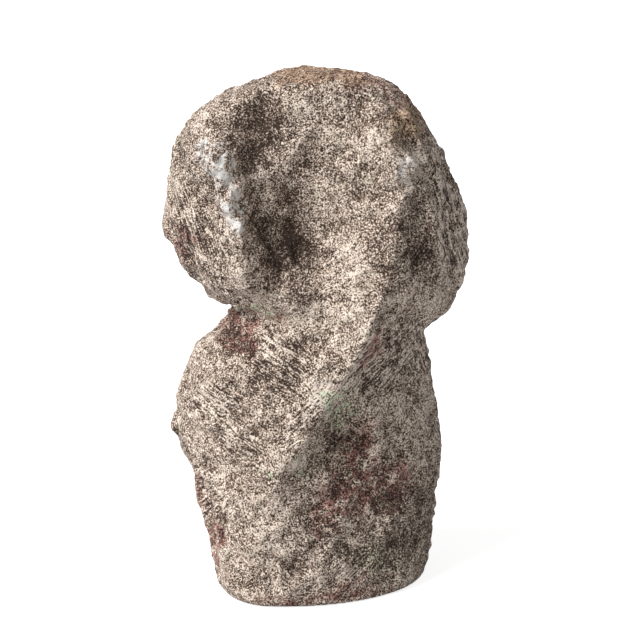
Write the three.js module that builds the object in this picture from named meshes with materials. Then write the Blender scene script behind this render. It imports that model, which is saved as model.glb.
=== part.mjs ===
// A weathered stone jizo, about a foot tall, carved in one piece. A broad head like a boulder, with a
// worn, hollow face, stands over a robed body whose front edge sweeps down to the near corner of the foot.
// Millimetres, +Z up. The figure faces -Y, and +X is on the right of its front view.

import * as THREE from "three";
import { mergeVertices } from "three/addons/utils/BufferGeometryUtils.js";

// How finely the surface is divided.
const COLUMNS = 74;
const ROWS = 64;
const FRONT_BIAS = 0.25;

// The girths of the stone from foot to crown, each measured round the body like a tape.
// leftZ, rightZ: height of the tape at each side. left, right, front, back: how far it reaches each way.
// keel: where along X the front stands out most.
// leftFull, rightFull: how square the front is on each side (2 is an ellipse, less is more wedge-like).
// lift: how much higher the tape runs at the middle of the front and the back than at the sides.
const sizes = ["leftZ", "rightZ", "left", "right", "front", "back", "keel", "leftFull", "rightFull", "lift"];
const girths = {
  sole: [0, 0, 62, 72, 66, 50, -20, 2.6, 2.05, 0],
  foot: [4, 4, 64, 73, 68, 54, -20, 2.6, 2.0, 0],
  hem: [28, 28, 69, 77, 68, 59, -20, 2.4, 1.8, 0],
  skirt: [54, 54, 77, 79, 67, 62, -20, 2.1, 1.65, 0],
  waist: [78, 80, 81.5, 82, 66, 62, -20, 2.0, 1.55, 0],
  elbow: [102, 105, 88, 80, 65, 60, -10, 2.0, 1.5, 0],
  breast: [127, 130, 86, 77, 64, 58, 4, 2.2, 1.45, 0],
  shoulder: [152, 150, 75, 74, 62, 55, 18, 2.4, 1.4, 0],
  throat: [177, 165, 51, 71, 61, 53, 28, 2.2, 1.4, 3],
  jaw: [189, 179, 68, 87, 62, 62, 36, 2.0, 1.35, 3],
  cheek: [209, 199, 86, 95, 62, 69, 43, 2.2, 1.35, 2],
  ear: [234, 225, 95, 98, 62, 73, 48, 2.2, 1.4, 0],
  brow: [260, 255, 91, 90, 60, 70, 48, 2.6, 1.6, 0],
  forehead: [287, 284, 85, 76, 55, 60, 42, 3.0, 1.9, 2],
  crown: [307, 306, 68, 62, 47, 46, 26, 3.2, 2.4, 5],
  rim: [320, 321, 42, 47, 40, 32, 5, 2.8, 2.6, 5],
  top: [327, 328, 12, 22, 24, 14, 5, 2, 2, 0.5],
};
const BACK_FULL = 2.3;
const SUMMIT_Z = 329;

// The keel: the edge of the face and of the robe, which winds down the front from the crown to the foot.
// along: its X by height. Its left side falls off gently, its right side steeply.
const keel = {
  along: [
    [84, -24], [97, -15], [113, -7], [128, 2], [144, 12],
    [163, 24], [189, 35], [222, 46], [264, 50], [304, 42],
  ],
  proud: 6,
  leftWidth: 14,
  rightWidth: 8,
  low: 88,
  high: 296,
};
// The step behind the keel, where the robe's right side is cut back.
const step = { offset: 15, depth: 7, width: 13, low: 98, high: 146 };

// The crest of the left cheek, with the steep inner wall of the face beside it.
const cheek = {
  along: [[205, -40], [224, -44], [239, -46], [264, -49], [288, -56], [304, -62]],
  proud: 11,
  leftWidth: 14,
  rightWidth: 8,
  low: 208,
  high: 286,
};

// Broad hollows of the front, by their deepest place, their reach to each side of it, and their depth.
const hollows = [
  { of: "face", x: -5, z: 238, left: 25, right: 38, down: 30, up: 62, depth: 25 },
  { of: "temple", x: -34, z: 298, left: 14, right: 18, down: 22, up: 20, depth: 10 },
  { of: "ear", x: 61, z: 224, left: 8, right: 9, down: 14, up: 14, depth: 5 },
  { of: "neck", x: -30, z: 180, left: 30, right: 30, down: 8, up: 8, depth: 6 },
  { of: "sleeve fold", x: 14, z: 102, left: 16, right: 18, down: 20, up: 20, depth: 5 },
];

// Knobs and chips of the stone's skin, by their middle, their radius and how far they stand out.
const knobs = [
  { of: "elbow chip", x: -90, y: -14, z: 97, radius: 8, proud: 7 },
  { of: "dent under the elbow", x: -84, y: -6, z: 84, radius: 7, proud: -1.5 },
  { of: "temple knob", x: -96, y: -6, z: 232, radius: 7, proud: 2.5 },
  { of: "dent under the temple", x: -94, y: -6, z: 221, radius: 6, proud: -2 },
  { of: "flat of the head's back", x: -34, y: 70, z: 262, radius: 44, proud: -8 },
  { of: "swelling behind the ear", x: 58, y: 56, z: 226, radius: 34, proud: 4 },
  { of: "left shoulder blade", x: -42, y: 56, z: 132, radius: 34, proud: 5 },
  { of: "hollow of the back", x: 8, y: 60, z: 112, radius: 36, proud: -6 },
  { of: "skirt at the back", x: 34, y: 60, z: 40, radius: 36, proud: 4 },
  { of: "flat of the left side", x: -76, y: 26, z: 50, radius: 26, proud: -4 },
  { of: "flat of the right side", x: 80, y: 22, z: 128, radius: 28, proud: -3 },
];

// Values between the girths and along the edges follow a Catmull-Rom spline.
function splineAt(points, position) {
  return new THREE.SplineCurve(points).getPoint(position).y;
}

const tapes = new Map(
  sizes.map((name, column) => {
    const steps = Object.values(girths).map((girth, index) => new THREE.Vector2(index, girth[column]));
    return [name, steps];
  }),
);

function girthAt(climb) {
  return Object.fromEntries(sizes.map((name) => [name, splineAt(tapes.get(name), climb)]));
}

// X of a winding edge at a height: its points are [z, x], with z rising.
function edgeAt(along, z) {
  const last = along.length - 1;
  if (z <= along[0][0]) return along[0][1];
  if (z >= along[last][0]) return along[last][1];
  const above = along.findIndex((point) => point[0] > z);
  const [lowZ, lowX] = along[above - 1];
  const [highZ, highX] = along[above];
  return THREE.MathUtils.mapLinear(z, lowZ, highZ, lowX, highX);
}

const bell = (offset, width) => Math.exp(-((offset / width) ** 2));

// 1 between the two heights, fading to 0 over 18 mm beyond them.
function between(z, low, high) {
  const fade = 18;
  const begun = THREE.MathUtils.smoothstep(z, low - fade, low);
  const ended = THREE.MathUtils.smoothstep(z, high, high + fade);
  return begun * (1 - ended);
}

function ridge(edge, x, z) {
  const offset = x - edgeAt(edge.along, z);
  const width = offset < 0 ? edge.leftWidth : edge.rightWidth;
  return edge.proud * bell(offset, width) * between(z, edge.low, edge.high);
}

// How far the front stands proud of its girth, at a place seen from the front.
function relief(x, z) {
  let proud = ridge(keel, x, z) + ridge(cheek, x, z);
  const behindKeel = x - edgeAt(keel.along, z) - step.offset;
  proud -= step.depth * bell(behindKeel, step.width) * between(z, step.low, step.high);
  for (const hollow of hollows) {
    const across = bell(x - hollow.x, x < hollow.x ? hollow.left : hollow.right);
    const upright = bell(z - hollow.z, z < hollow.z ? hollow.down : hollow.up);
    proud -= hollow.depth * across * upright;
  }
  return proud;
}

function roughness(point) {
  let proud = 0;
  for (const knob of knobs) {
    proud += knob.proud * bell(point.distanceTo(new THREE.Vector3(knob.x, knob.y, knob.z)), knob.radius);
  }
  return proud;
}

// A point of the surface: turn is the angle round the stone from the front, climb runs from 0 to 1.
function surface(turn, climb) {
  const girth = girthAt(climb);
  const side = Math.sin(turn);
  const fore = Math.cos(turn);
  const inFront = fore > 0;
  const middle = inFront ? girth.keel : 0;
  const full = inFront ? (side < 0 ? girth.leftFull : girth.rightFull) : BACK_FULL;
  const acrossX = side < 0 ? girth.left + middle : girth.right - middle;
  const acrossY = inFront ? -girth.front : girth.back;
  const x = middle + Math.sign(side) * acrossX * Math.abs(side) ** (2 / full);
  const level = (x + girth.left) / (girth.left + girth.right);
  const z = THREE.MathUtils.lerp(girth.leftZ, girth.rightZ, level) + girth.lift * fore ** 2;
  const facing = inFront ? THREE.MathUtils.smoothstep(fore, 0.1, 0.6) : 0;
  const y = acrossY * Math.abs(fore) ** (2 / full) - facing * relief(x, z);
  const point = new THREE.Vector3(x, y, z);
  const outwards = new THREE.Vector3(side, -fore, 0);
  return point.addScaledVector(outwards, roughness(point));
}

// The stone starts as a closed cylinder, and each of its points moves to its place on the statue.
function statueGeometry() {
  const geometry = new THREE.CylinderGeometry(1, 1, 1, COLUMNS, ROWS);
  const place = geometry.getAttribute("position");
  for (let index = 0; index < place.count; index += 1) {
    const climb = place.getY(index) + 0.5;
    const round = Math.atan2(place.getX(index), place.getZ(index));
    const onAxis = Math.hypot(place.getX(index), place.getZ(index)) < 0.5;
    const turn = round - FRONT_BIAS * Math.sin(round);
    const point = onAxis ? new THREE.Vector3(4, 0, climb * SUMMIT_Z) : surface(turn, climb);
    place.setXYZ(index, point.x, point.y, point.z);
  }
  geometry.computeBoundingBox();
  const middle = geometry.boundingBox.getCenter(new THREE.Vector3());
  geometry.translate(-middle.x, -middle.y, 0);
  geometry.deleteAttribute("normal");
  geometry.deleteAttribute("uv");
  const closed = mergeVertices(geometry, 1e-3);
  closed.computeVertexNormals();
  return closed;
}

const weatheredStone = new THREE.MeshStandardMaterial({ color: 0x8d8075, roughness: 0.9, metalness: 0 });

const statue = new THREE.Mesh(statueGeometry(), weatheredStone);
statue.name = "statue";

const jizo = new THREE.Group();
jizo.add(statue);

export default jizo;
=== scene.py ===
# A weathered stone jizo, about a foot tall, standing by its own weight on a plain pale floor.
import math
import random

import bmesh
import bpy
from mathutils import Matrix, Vector
from mathutils.bvhtree import BVHTree
from mathutils.kdtree import KDTree
from mathutils.noise import noise, turbulence_vector


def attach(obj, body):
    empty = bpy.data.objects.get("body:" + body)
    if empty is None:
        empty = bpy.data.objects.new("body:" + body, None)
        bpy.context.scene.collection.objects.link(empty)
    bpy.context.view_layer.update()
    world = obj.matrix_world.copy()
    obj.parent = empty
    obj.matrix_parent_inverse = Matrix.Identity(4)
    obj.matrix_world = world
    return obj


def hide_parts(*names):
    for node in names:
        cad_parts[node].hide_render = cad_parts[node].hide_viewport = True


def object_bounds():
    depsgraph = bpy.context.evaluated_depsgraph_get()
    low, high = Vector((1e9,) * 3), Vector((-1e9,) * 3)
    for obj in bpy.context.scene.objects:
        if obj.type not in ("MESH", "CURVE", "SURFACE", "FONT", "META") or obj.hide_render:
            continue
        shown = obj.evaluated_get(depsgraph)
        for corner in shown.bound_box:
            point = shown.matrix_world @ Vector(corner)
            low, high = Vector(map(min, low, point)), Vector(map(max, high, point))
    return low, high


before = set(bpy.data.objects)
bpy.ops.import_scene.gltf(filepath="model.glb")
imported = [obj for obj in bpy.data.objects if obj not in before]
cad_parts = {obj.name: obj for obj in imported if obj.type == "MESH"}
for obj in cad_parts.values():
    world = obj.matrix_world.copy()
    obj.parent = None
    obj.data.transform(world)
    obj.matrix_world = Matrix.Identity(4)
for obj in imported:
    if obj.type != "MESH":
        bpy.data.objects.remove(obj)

# The stone's own box, as packed. Everything else is placed from it.
stone_low, stone_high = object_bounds()
stone_height = stone_high.z - stone_low.z
stone_middle = (stone_low + stone_high) / 2

# --- Camera -------------------------------------------------------------------------------------
# A long lens looks slightly down on the statue from just over a metre in front of it.
camera_rise = math.radians(14)
camera_reach = 3.465 * stone_height
camera_aim = stone_middle + Vector((0.0026, 0, 0.0052))
camera_back = Vector((0, -math.cos(camera_rise), math.sin(camera_rise)))
bpy.ops.object.camera_add(location=camera_aim + camera_back * camera_reach)
camera = bpy.context.object
camera.name = "camera"
camera.rotation_euler = (-camera_back).to_track_quat("-Z", "Y").to_euler()
camera.data.lens = 100
camera.data.sensor_width = 36
camera.data.clip_end = 50
bpy.context.scene.camera = camera

# --- Statue: the stone --------------------------------------------------------------------------
# The whole figure is one block of coarse speckled stone, carved by hand: a hollow-faced boulder of a
# head, a neck cut in from both sides, and a robe whose edge slants down to the near corner of the foot.
# The carved block is taken over as packed, and its skin is weathered: worn, pitted and tooled.
bpy.ops.object.select_all(action="DESELECT")
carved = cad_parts["statue"]
carved.select_set(True)
bpy.context.view_layer.objects.active = carved
bpy.ops.object.duplicate()
stone = bpy.context.object
stone.name = "jizo_stone"
stone.parent = None
for leftover in list(stone.keys()):
    del stone[leftover]
stone.data.materials.clear()

bpy.ops.object.mode_set(mode="EDIT")
bpy.ops.mesh.select_all(action="SELECT")
bpy.ops.mesh.remove_doubles(threshold=0.00001)
bpy.ops.mesh.tris_convert_to_quads(face_threshold=math.radians(60), shape_threshold=math.radians(60))
bpy.ops.object.mode_set(mode="OBJECT")
rounding = stone.modifiers.new("rounding", "SUBSURF")
rounding.levels = 1
rounding.render_levels = 1
bpy.ops.object.modifier_apply(modifier="rounding")

# Smaller carving and old knocks, pushed in or out of the block one after another.
finder = KDTree(len(stone.data.vertices))
for vertex in stone.data.vertices:
    finder.insert(vertex.co, vertex.index)
finder.balance()
skin_tree = BVHTree.FromObject(stone, bpy.context.evaluated_depsgraph_get())


def front(x, z):
    """The place on the front of the skin at an X and a height in millimetres, or the one nearest to it."""
    hit = skin_tree.ray_cast(Vector((x, -200, z)) / 1000, Vector((0, 1, 0)))[0]
    return hit or skin_tree.find_nearest(Vector((x, -30, z)) / 1000)[0]


def push(place, reach, amount):
    """Moves the skin at a place along its own normal, and less and less out to the reach in millimetres."""
    nearest = finder.find(place)[1]
    shaped = bmesh.from_edit_mesh(stone.data)
    shaped.verts.ensure_lookup_table()
    bpy.ops.mesh.select_all(action="DESELECT")
    shaped.verts[nearest].select = True
    shaped.select_flush(True)
    bpy.ops.transform.translate(
        value=shaped.verts[nearest].normal * (amount / 1000),
        use_proportional_edit=True,
        proportional_edit_falloff="SMOOTH",
        proportional_size=reach / 1000,
    )


def run(points, reach, amount):
    """A ridge or a groove on the front: pushes set close together along a line of points."""
    for start, end in zip(points, points[1:]):
        steps = max(round((Vector(end) - Vector(start)).length / (reach * 0.5)), 1)
        for step in range(steps):
            push(front(*Vector(start).lerp(Vector(end), step / steps)), reach, amount)


bpy.ops.object.mode_set(mode="EDIT")
bpy.ops.mesh.select_mode(type="VERT")
# The head: the worn crest of the left cheek, its quartz boss, and the grooves beside it.
push(front(-60, 278), 13, 6.0)
run([(-57, 268), (-51, 254), (-46, 240), (-42, 226)], 7, 3.4)
run([(-43, 276), (-36, 260), (-31, 244), (-30, 226)], 8, -3.0)
run([(-68, 262), (-64, 240), (-60, 220)], 9, -1.6)
push(front(-82, 240), 16, 2.6)
push(front(-74, 214), 13, -2.4)
push(front(-80, 282), 13, -1.8)
push(front(-52, 302), 14, -2.6)
run([(-82, 296), (-66, 310), (-46, 320), (-30, 324)], 7, 1.1)
# The crease between the worked face and the smooth right side of the boulder.
run([(36, 324), (48, 310), (58, 292), (66, 272), (72, 256)], 7, -1.9)
push(front(54, 280), 10, 4.6)
push(front(48, 262), 10, -2.0)
run([(68, 262), (70, 240), (70, 214)], 7, 2.4)
push(front(58, 232), 10, -5.5)
push(front(60, 216), 8, -2.4)
push(front(54, 204), 9, 2.8)
push(front(44, 194), 9, -1.8)
push(front(30, 224), 18, 3.2)
push(front(12, 206), 12, 2.0)
# Ribs at the foot of the hollow, and the lip under it.
run([(-14, 236), (-16, 218)], 5, 1.4)
run([(-28, 234), (-30, 216)], 5, -1.6)
run([(-34, 204), (-14, 200), (4, 200)], 8, 1.7)
# The left shoulder: a rolled rim, and the bruised hollow inside it.
run([(-46, 186), (-58, 174), (-68, 162), (-76, 148)], 7, 1.8)
push(front(-48, 172), 12, -3.6)
push(front(-16, 166), 12, -1.6)
# The left sleeve: shallow folds above the chip, the dark nick under it.
run([(-74, 138), (-60, 136), (-44, 126)], 7, 1.6)
run([(-72, 126), (-62, 124), (-46, 114)], 7, -1.6)
run([(-74, 114), (-62, 112), (-46, 104)], 6, 1.2)
push(front(-68, 104), 8, -3.4)
push(front(-70, 92), 10, 2.8)
push(front(-58, 84), 9, -1.8)
# The elbow chip stands out from the left side, and the side under it is full.
push(Vector((-92, -14, 104)) / 1000, 12, 4.0)
push(Vector((-88, -10, 104)) / 1000, 16, 1.2)
push(Vector((-80, -8, 80)) / 1000, 18, 1.8)
# The neck is notched sharply on the left.
push(Vector((-54, -8, 186)) / 1000, 12, -4.4)
push(Vector((-66, -8, 193)) / 1000, 13, -1.6)
push(Vector((-52, -24, 184)) / 1000, 10, -1.8)
# The right side under the head is full too.
push(Vector((74, -6, 172)) / 1000, 24, 1.6)
push(Vector((76, -6, 140)) / 1000, 26, 1.4)
push(Vector((80, -6, 108)) / 1000, 26, 1.2)
push(Vector((80, -6, 74)) / 1000, 24, 1.0)
# The robe's edge, the hollow cut behind it, and the right side.
run([(35, 189), (24, 163), (12, 144), (2, 128), (-7, 113), (-16, 97)], 7, 1.4)
run([(50, 180), (40, 160), (26, 142)], 8, -1.6)
push(front(16, 106), 12, -3.4)
push(front(28, 90), 12, -2.4)
push(front(40, 104), 11, 2.4)
push(front(56, 138), 11, -3.2)
push(front(66, 116), 12, 3.0)
push(front(30, 66), 14, -2.6)
push(front(46, 46), 15, 2.4)
push(front(10, 50), 14, 2.0)
push(front(60, 70), 12, -2.2)
# The corner between the front and the left side, above the foot.
run([(-66, 78), (-60, 52), (-55, 28), (-52, 8)], 9, 1.8)
run([(-72, 70), (-68, 46), (-64, 20)], 8, -1.3)
push(front(-68, 62), 14, -2.4)
push(front(-64, 30), 11, -1.6)
# The back and the sides, left rougher than the front.
rough_blows = random.Random(7)
for _ in range(46):
    turn = rough_blows.uniform(math.radians(20), math.radians(160))
    height = rough_blows.uniform(12, 318)
    blow = Vector((math.cos(turn) * 90, math.sin(turn) * 72, height)) / 1000
    push(blow, rough_blows.uniform(10, 24), rough_blows.choice((-2.4, -1.8, 1.5, 2.0)))
bpy.ops.object.mode_set(mode="OBJECT")

# An even skin, fine enough to hold the pits.
skin = stone.modifiers.new("skin", "REMESH")
skin.mode = "VOXEL"
skin.voxel_size = 0.00162
skin.use_smooth_shade = True
bpy.ops.object.modifier_apply(modifier="skin")
evening = stone.modifiers.new("evening", "SMOOTH")
evening.factor = 0.5
evening.iterations = 2
bpy.ops.object.modifier_apply(modifier="evening")

# The weather reaches all of the stone but its flat underside.
sole_height = 0.006
weathered = stone.vertex_groups.new(name="weathered")
for vertex in stone.data.vertices:
    exposed = min(max((vertex.co.z - 0.0008) / sole_height, 0), 1)
    weathered.add([vertex.index], exposed, "REPLACE")


def weather(name, kind, grain, depth, rest_level=0.5, **settings):
    texture = bpy.data.textures.new(name, kind)
    texture.noise_scale = grain
    for setting, value in settings.items():
        setattr(texture, setting, value)
    wear = stone.modifiers.new(name, "DISPLACE")
    wear.texture = texture
    wear.texture_coords = "LOCAL"
    wear.strength = depth
    wear.mid_level = rest_level
    wear.vertex_group = "weathered"
    bpy.ops.object.modifier_apply(modifier=name)


def stroke_field(name, middle, reach, turn, depth):
    """Tool strokes in the skin of one place on the front, all running the same way. Sizes in millimetres."""
    field = stone.vertex_groups.new(name=name)
    heart = Vector(middle) / 1000
    for vertex in stone.data.vertices:
        nearness = 1 - (vertex.co - heart).length / (reach / 1000)
        if nearness > 0:
            field.add([vertex.index], min(nearness * 2, 1), "REPLACE")
    bpy.ops.object.empty_add(location=heart, rotation=(0, math.radians(turn), 0))
    guide = bpy.context.object
    guide.scale = (0.022, 0.016, 0.0042)
    bpy.context.view_layer.update()
    texture = bpy.data.textures.new(name, "CLOUDS")
    texture.noise_scale = 0.9
    wear = stone.modifiers.new(name, "DISPLACE")
    wear.texture = texture
    wear.texture_coords = "OBJECT"
    wear.texture_coords_object = guide
    wear.strength = depth
    wear.mid_level = 0.5
    wear.vertex_group = name
    bpy.context.view_layer.objects.active = stone
    bpy.ops.object.modifier_apply(modifier=name)
    bpy.data.objects.remove(guide)


def rubble(name, middle, reach, depth):
    """A place on the front where the skin has broken away in lumps. Sizes in millimetres."""
    broken = stone.vertex_groups.new(name=name)
    for vertex in stone.data.vertices:
        across = vertex.co.x * 1000 - middle[0]
        upwards = vertex.co.z * 1000 - middle[1]
        nearness = 1 - math.hypot(across / reach[0], upwards / reach[1])
        if nearness > 0 and vertex.normal.y < 0.15:
            broken.add([vertex.index], min(nearness * 2, 1), "REPLACE")
    texture = bpy.data.textures.new(name, "CLOUDS")
    texture.noise_scale = 0.0075
    texture.noise_depth = 2
    texture.contrast = 2.2
    wear = stone.modifiers.new(name, "DISPLACE")
    wear.texture = texture
    wear.texture_coords = "LOCAL"
    wear.strength = depth / 1000
    wear.mid_level = 0.5
    wear.vertex_group = name
    bpy.ops.object.modifier_apply(modifier=name)


unworn = [vertex.co.copy() for vertex in stone.data.vertices]
weather("worn_lumps", "CLOUDS", 0.026, 0.0034, noise_depth=2)
weather("hewn_facets", "VORONOI", 0.019, 0.0046, rest_level=0.38, distance_metric="DISTANCE")
weather("dressed_skin", "CLOUDS", 0.0085, 0.0028, noise_depth=3, noise_type="HARD_NOISE")
weather("pits", "CLOUDS", 0.0036, 0.0016, noise_depth=1)

rubble("ear_rubble", (58, 240), (20, 54), 3.4)
rubble("cheek_rubble", (-54, 248), (16, 44), 2.8)
rubble("hollow_rubble", (-22, 216), (28, 22), 2.6)
rubble("shoulder_rubble", (-50, 172), (26, 18), 2.6)
rubble("sleeve_rubble", (-70, 100), (22, 26), 2.6)
rubble("robe_rubble", (34, 92), (44, 50), 2.2)
rubble("throat_rubble", (50, 186), (26, 20), 2.6)

stroke_field("chest_strokes", (-20, -60, 157), 32, 38, 0.0016)
stroke_field("upper_sleeve_strokes", (-62, -40, 128), 28, 12, 0.0018)
stroke_field("lower_sleeve_strokes", (-50, -50, 108), 30, 24, 0.0016)
stroke_field("robe_side_strokes", (44, -45, 156), 38, -38, 0.0020)
stroke_field("robe_edge_strokes", (0, -66, 128), 34, -52, 0.0014)
stroke_field("right_head_strokes", (84, -20, 245), 48, 74, 0.0012)
stroke_field("left_head_strokes", (-80, -35, 238), 40, 66, 0.0016)
stroke_field("left_skirt_strokes", (-72, -30, 66), 28, -48, 0.0014)

for vertex in stone.data.vertices:
    vertex.co.z = max(vertex.co.z, 0)

# How far each place of the skin stands above or below the unworn stone, in millimetres.
worn_by = [(vertex.co - unworn[vertex.index]).dot(vertex.normal) * 1000 for vertex in stone.data.vertices]
level = sum(worn_by) / len(worn_by)

bpy.ops.object.mode_set(mode="OBJECT")
bpy.ops.object.shade_smooth()

# Stains, painted highlights and painted shade, and fields of tool strokes are painted on the front, each as a mask of
# its own.
# A place is given by its middle and its reach across and upwards, its clockwise turn and its strength.
painted_spots = []
for vertex in stone.data.vertices:
    if vertex.normal.y < 0.15:
        wander = turbulence_vector(vertex.co * 55, 4, False, amplitude_scale=0.65, frequency_scale=2.0)
        spot = (vertex.co + wander * 0.009) * 1000
        painted_spots.append((vertex.index, spot.x, spot.z))


def paint(*places):
    mask = [0.0] * len(stone.data.vertices)
    for (middle_x, middle_z), (reach_x, reach_z), turn, strength in places:
        fore = math.cos(math.radians(turn))
        side = math.sin(math.radians(turn))
        for index, x, z in painted_spots:
            across = ((x - middle_x) * fore - (z - middle_z) * side) / reach_x
            upwards = ((x - middle_x) * side + (z - middle_z) * fore) / reach_z
            nearness = 1 - math.hypot(across, upwards)
            if nearness * strength > mask[index]:
                mask[index] = nearness * strength
    return mask


def keep(name, mask):
    stone.data.attributes.new(name, "FLOAT", "POINT").data.foreach_set("value", mask)


keep("stands_proud", [height - level for height in worn_by])

# Pale places are partly worn edges and clean faces and partly a painted highlight on the crests and faces turned to the
# key light, with a painted reflection on the right side; dark places are painted shade in the hollows and on the sides
# turned away.
keep("worn_and_painted_light_places", paint(
    ((-60, 279), (13, 22), -12, 0.3),
    ((-51, 250), (10, 36), -14, 1.4),
    ((10, 300), (50, 26), 0, 0.5),
    ((22, 218), (40, 36), 0, 0.55),
    ((28, 180), (20, 34), 15, 0.9),
    ((6, 140), (15, 44), 38, 1.3),
    ((-18, 102), (18, 30), 40, 0.9),
    ((-32, 46), (44, 50), 0, 0.8),
    ((-66, 108), (28, 34), 0, 0.6),
    ((70, 115), (16, 24), 0, 1.0),
    ((50, 122), (26, 24), 0, 1.0),
    ((-10, 186), (48, 15), 0, 1.7),
    ((56, 272), (16, 26), 0, 0.8),
    ((78, 222), (10, 40), 0, 0.7),
))
# Painted shade: in the hollows of the face and shoulder, beside the crest, behind the robe's edge and over the lower
# right.
keep("painted_shade_places", paint(
    ((-20, 226), (22, 34), 0, 1.9),
    ((-40, 298), (26, 32), 25, 1.2),
    ((58, 224), (20, 30), 0, 0.8),
    ((14, 94), (24, 26), 30, 0.8),
    ((10, 60), (18, 30), 0, 0.5),
    ((62, 140), (14, 16), 0, 0.4),
    ((-48, 172), (20, 14), 20, 1.0),
    ((-78, 214), (18, 22), 0, 0.6),
    ((-76, 276), (16, 28), -12, 0.5),
    ((48, 42), (44, 44), 0, 0.6),
    ((-20, 152), (16, 12), 0, 0.5),
))
maroon = paint(
    ((-52, 172), (22, 15), 20, 1.4),
    ((26, 96), (20, 30), 0, 1.1),
    ((10, 66), (15, 28), 20, 1.2),
    ((36, 72), (36, 22), 0, 1.3),
    ((-66, 28), (12, 34), 0, 1.0),
    ((-74, 66), (12, 14), 0, 0.9),
    ((-84, 224), (18, 34), 0, 0.6),
    ((-30, 184), (24, 8), 0, 0.6),
    ((36, 160), (12, 20), 0, 0.9),
    ((0, 6), (60, 8), 0, 0.8),
    ((40, 322), (40, 10), 10, 0.5),
)
for vertex in stone.data.vertices:
    if vertex.normal.y >= 0.15:
        maroon[vertex.index] = max(noise(vertex.co * 24) * 1.6 - 0.25, 0)
keep("maroon_places", maroon)
keep("green_places", paint(
    ((14, 133), (12, 9), 0, 1.5),
    ((15, 121), (10, 8), 0, 1.3),
    ((-28, 90), (6, 6), 0, 0.9),
    ((-8, 92), (8, 6), 0, 0.8),
    ((42, 26), (36, 22), 0, 0.6),
    ((-35, 188), (16, 6), 0, 0.7),
    ((52, 300), (20, 26), 20, 0.4),
    ((-86, 196), (14, 14), 0, 0.7),
))
keep("ochre_places", paint(
    ((4, 330), (52, 9), 0, 1.0),
    ((58, 306), (20, 26), 30, 0.7),
))
keep("quartz_places", paint(
    ((-60, 278), (13, 19), -12, 1.3),
    ((-50, 250), (7, 24), -14, 0.9),
    ((54, 276), (12, 14), 0, 0.6),
))
keep("falling_strokes", paint(
    ((-22, 157), (30, 26), 38, 1.0),
    ((-62, 126), (26, 18), 12, 1.0),
    ((-48, 108), (34, 14), 24, 0.9),
))
keep("rising_strokes", paint(
    ((42, 156), (38, 28), -38, 1.1),
    ((0, 128), (52, 12), -52, 0.9),
    ((-72, 66), (26, 22), -48, 0.9),
    ((20, 20), (50, 24), -18, 0.45),
))
keep("steep_strokes", paint(
    ((84, 240), (60, 16), 74, 1.0),
    ((-76, 236), (46, 18), 68, 0.9),
    ((66, 160), (30, 14), 84, 0.9),
))

# Pale mineral grains lie thick in a dark ground.
stone_look = bpy.data.materials.new("speckled_stone")
stone_look.use_nodes = True
nodes = stone_look.node_tree.nodes
links = stone_look.node_tree.links
shader = nodes["Principled BSDF"]
place = nodes.new("ShaderNodeTexCoord").outputs["Object"]


def wire(source, socket):
    """Feeds a socket from another socket, or sets it to a plain value."""
    if isinstance(source, bpy.types.NodeSocket):
        links.new(source, socket)
    else:
        socket.default_value = source


def noise_of(where, scale, detail=2.0, roughness=0.5, distortion=0.0):
    made = nodes.new("ShaderNodeTexNoise")
    wire(where, made.inputs["Vector"])
    made.inputs["Scale"].default_value = scale
    made.inputs["Detail"].default_value = detail
    made.inputs["Roughness"].default_value = roughness
    made.inputs["Distortion"].default_value = distortion
    return made


def math_of(operation, first, second=0.0, clamp=False):
    made = nodes.new("ShaderNodeMath")
    made.operation = operation
    made.use_clamp = clamp
    wire(first, made.inputs[0])
    wire(second, made.inputs[1])
    return made.outputs["Value"]


def between(value, low, high, to_low=0.0, to_high=1.0):
    """The value, stretched smoothly from one range to another and held at its ends."""
    made = nodes.new("ShaderNodeMapRange")
    made.interpolation_type = "SMOOTHSTEP"
    wire(value, made.inputs["Value"])
    wire(low, made.inputs["From Min"])
    wire(high, made.inputs["From Max"])
    made.inputs["To Min"].default_value = to_low
    made.inputs["To Max"].default_value = to_high
    return made.outputs["Result"]


def mixed(amount, first, second, blend="MIX"):
    made = nodes.new("ShaderNodeMix")
    made.data_type = "RGBA"
    made.blend_type = blend
    wire(amount, made.inputs["Factor"])
    wire(first, made.inputs["A"])
    wire(second, made.inputs["B"])
    return made.outputs["Result"]


def painted_mask(name):
    made = nodes.new("ShaderNodeAttribute")
    made.attribute_name = name
    return made.outputs["Fac"]


def weighed(value, middle, weight):
    """How far a value lies from its middle, times a weight."""
    return math_of("MULTIPLY", math_of("SUBTRACT", value, middle), weight)


# How pale the skin is at large, with a painted highlight on the lit crests and faces added and painted shade in the
# hollows and on the sides turned away taken off.
broad = noise_of(place, 42, detail=5, roughness=0.68)
pale = weighed(broad.outputs["Fac"], 0.5, 1.1)
pale = math_of("ADD", pale, math_of("MULTIPLY", painted_mask("worn_and_painted_light_places"), 0.22))
pale = math_of("SUBTRACT", pale, math_of("MULTIPLY", painted_mask("painted_shade_places"), 0.36))

# The grains are about a millimetre across, and gather in clumps.
grain = noise_of(place, 1080, detail=2, roughness=0.6, distortion=0.6)
clump = noise_of(place, 170, detail=4, roughness=0.72, distortion=0.6)
speckle = math_of("ADD", weighed(grain.outputs["Fac"], 0.5, 4.8), weighed(clump.outputs["Fac"], 0.5, 1.5))

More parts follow.
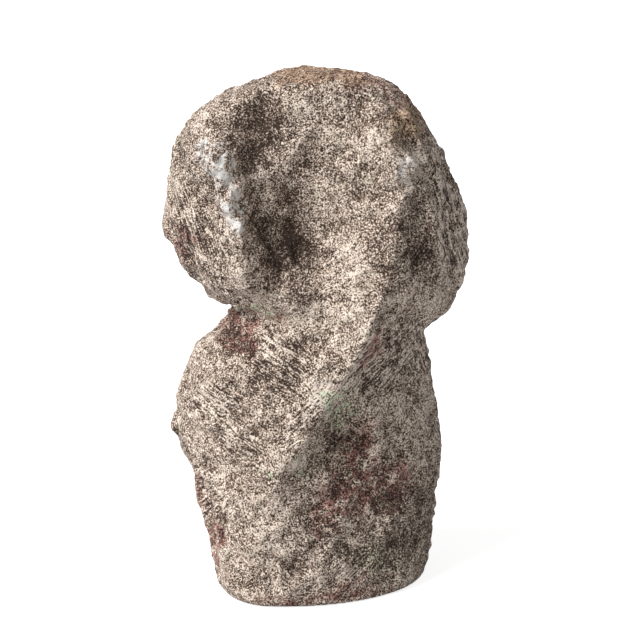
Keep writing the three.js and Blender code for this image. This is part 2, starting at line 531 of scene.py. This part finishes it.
# Chisel and point left strokes in the skin, which run one of three ways.
tooled = 0.0
for field, turn in (("falling_strokes", 28), ("rising_strokes", -42), ("steep_strokes", 72)):
    lengthwise = nodes.new("ShaderNodeMapping")
    lengthwise.vector_type = "TEXTURE"
    wire(place, lengthwise.inputs["Vector"])
    lengthwise.inputs["Rotation"].default_value = (0, math.radians(turn), 0)
    lengthwise.inputs["Scale"].default_value = (0.0075, 0.0065, 0.00115)
    stroke = noise_of(lengthwise.outputs["Vector"], 1.0, detail=1.5, distortion=0.25)
    strong = between(painted_mask(field), 0.05, 0.5)
    marked = math_of("MULTIPLY", weighed(stroke.outputs["Fac"], 0.5, 3.0), strong)
    tooled = marked if tooled == 0.0 else math_of("ADD", tooled, marked)

# Raised places of the skin are made lighter and sunken ones darker.
lighter_where_proud = math_of("MULTIPLY", painted_mask("stands_proud"), 0.075)
tone = math_of("ADD", math_of("ADD", speckle, pale), math_of("ADD", tooled, 0.50))
tone = math_of("ADD", tone, lighter_where_proud)

# Larger crystals stand out white, and small holes where grains have dropped out are painted nearly black, as painted
# shade in the holes.
crystal = nodes.new("ShaderNodeTexVoronoi")
wire(place, crystal.inputs["Vector"])
crystal.inputs["Scale"].default_value = 300
picked = nodes.new("ShaderNodeSeparateColor")
wire(crystal.outputs["Color"], picked.inputs["Color"])
spot = between(crystal.outputs["Distance"], 0.42, 0.20)
white_spot = math_of("MULTIPLY", spot, between(picked.outputs["Red"], 0.86, 0.90))
hole_shade_spot = math_of("MULTIPLY", spot, between(picked.outputs["Red"], 0.12, 0.08))
tone = math_of("ADD", tone, math_of("MULTIPLY", white_spot, 0.40))
tone = math_of("SUBTRACT", tone, math_of("MULTIPLY", hole_shade_spot, 0.45))

shade = nodes.new("ShaderNodeValToRGB")
wire(tone, shade.inputs["Fac"])
shade.color_ramp.elements[0].position = 0.08
shade.color_ramp.elements[0].color = (0.034, 0.018, 0.010, 1)
shade.color_ramp.elements[1].position = 0.95
shade.color_ramp.elements[1].color = (0.94, 0.82, 0.71, 1)
for position, tint in (
    (0.34, (0.125, 0.076, 0.050, 1)),
    (0.55, (0.350, 0.245, 0.180, 1)),
    (0.75, (0.680, 0.545, 0.440, 1)),
):
    shade.color_ramp.elements.new(position).color = tint
colour = shade.outputs["Color"]

# Iron stains the stone maroon in patches and in scattered grains, and lichen leaves a few grey-green specks.
rusty = noise_of(place, 150, detail=4, roughness=0.75)
maroon = math_of("MULTIPLY", between(painted_mask("maroon_places"), 0.1, 0.6), between(rusty.outputs["Fac"], 0.40, 0.56))
scattered = math_of("MULTIPLY", between(rusty.outputs["Fac"], 0.60, 0.74), 0.7)
maroon = math_of("MAXIMUM", maroon, scattered)
colour = mixed(math_of("MULTIPLY", maroon, 0.95), colour, (0.56, 0.31, 0.30, 1), "MULTIPLY")
green = math_of("MULTIPLY", between(painted_mask("green_places"), 0.15, 0.6), between(clump.outputs["Fac"], 0.40, 0.58))
colour = mixed(math_of("MULTIPLY", green, 0.75), colour, (0.72, 0.98, 0.80, 1), "MULTIPLY")
ochre = math_of("MULTIPLY", between(painted_mask("ochre_places"), 0.0, 0.5), 0.7)
colour = mixed(ochre, colour, (0.92, 0.70, 0.52, 1), "MULTIPLY")
veined = between(clump.outputs["Fac"], 0.42, 0.60)
quartz = math_of("MULTIPLY", between(painted_mask("quartz_places"), 0.10, 0.55), veined)
colour = mixed(math_of("MULTIPLY", quartz, 0.95), colour, (1.0, 0.98, 0.95, 1))
wire(colour, shader.inputs["Base Color"])
wire(between(grain.outputs["Fac"], 0.3, 0.7, 0.92, 0.62), shader.inputs["Roughness"])

height = math_of("ADD", math_of("MULTIPLY", tone, 0.4), weighed(clump.outputs["Fac"], 0.5, 1.2))
bump = nodes.new("ShaderNodeBump")
bump.inputs["Strength"].default_value = 0.8
bump.inputs["Distance"].default_value = 0.0012
wire(height, bump.inputs["Height"])
wire(bump.outputs["Normal"], shader.inputs["Normal"])
stone.data.materials.append(stone_look)

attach(stone, "root")
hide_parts("statue")

# --- Floor --------------------------------------------------------------------------------------
# A plain pale sheet that runs on past the edge of the view.
bpy.ops.object.select_all(action="DESELECT")
bpy.ops.mesh.primitive_plane_add(size=14, location=(0, 0, -0.0002))
floor = bpy.context.object
floor.name = "floor"
floor_look = bpy.data.materials.new("pale_floor")
floor_look.use_nodes = True
floor_look.node_tree.nodes["Principled BSDF"].inputs["Base Color"].default_value = (0.6, 0.6, 0.6, 1)
floor_look.node_tree.nodes["Principled BSDF"].inputs["Roughness"].default_value = 0.9
seen_directly = floor_look.node_tree.nodes.new("ShaderNodeLightPath").outputs["Is Camera Ray"]
lifted = floor_look.node_tree.nodes.new("ShaderNodeMath")
lifted.operation = "MULTIPLY"
lifted.inputs[1].default_value = 0.82
floor_look.node_tree.links.new(seen_directly, lifted.inputs[0])
floor_shader = floor_look.node_tree.nodes["Principled BSDF"]
floor_shader.inputs["Emission Color"].default_value = (1, 1, 1, 1)
floor_look.node_tree.links.new(lifted.outputs["Value"], floor_shader.inputs["Emission Strength"])
floor.data.materials.append(floor_look)

# --- Light --------------------------------------------------------------------------------------
# One soft key light stands high on the left of the camera, and a white room fills the shadows.
room = bpy.data.worlds.new("white_room")
room.use_nodes = True
room_nodes = room.node_tree.nodes
room_links = room.node_tree.links
room_glow = room_nodes["Background"]
room_glow.inputs["Color"].default_value = (1, 1, 1, 1)
glow_by_ray = room_nodes.new("ShaderNodeMapRange")
glow_by_ray.inputs["To Min"].default_value = 0.30
glow_by_ray.inputs["To Max"].default_value = 1.0
room_links.new(room_nodes.new("ShaderNodeLightPath").outputs["Is Camera Ray"], glow_by_ray.inputs["Value"])
room_links.new(glow_by_ray.outputs["Result"], room_glow.inputs["Strength"])
bpy.context.scene.world = room

key_turn = math.radians(-62)
key_rise = math.radians(42)
key_from = Vector((
    math.sin(key_turn) * math.cos(key_rise),
    -math.cos(key_turn) * math.cos(key_rise),
    math.sin(key_rise),
))
bpy.ops.object.light_add(type="SUN", location=stone_middle + key_from * 2)
key = bpy.context.object
key.name = "key_light"
key.data.energy = 4.5
key.data.angle = math.radians(34)
key.rotation_euler = (-key_from).to_track_quat("-Z", "Y").to_euler()

# Colours are shown as they are, with no film curve over them.
bpy.context.scene.view_settings.view_transform = "Standard"
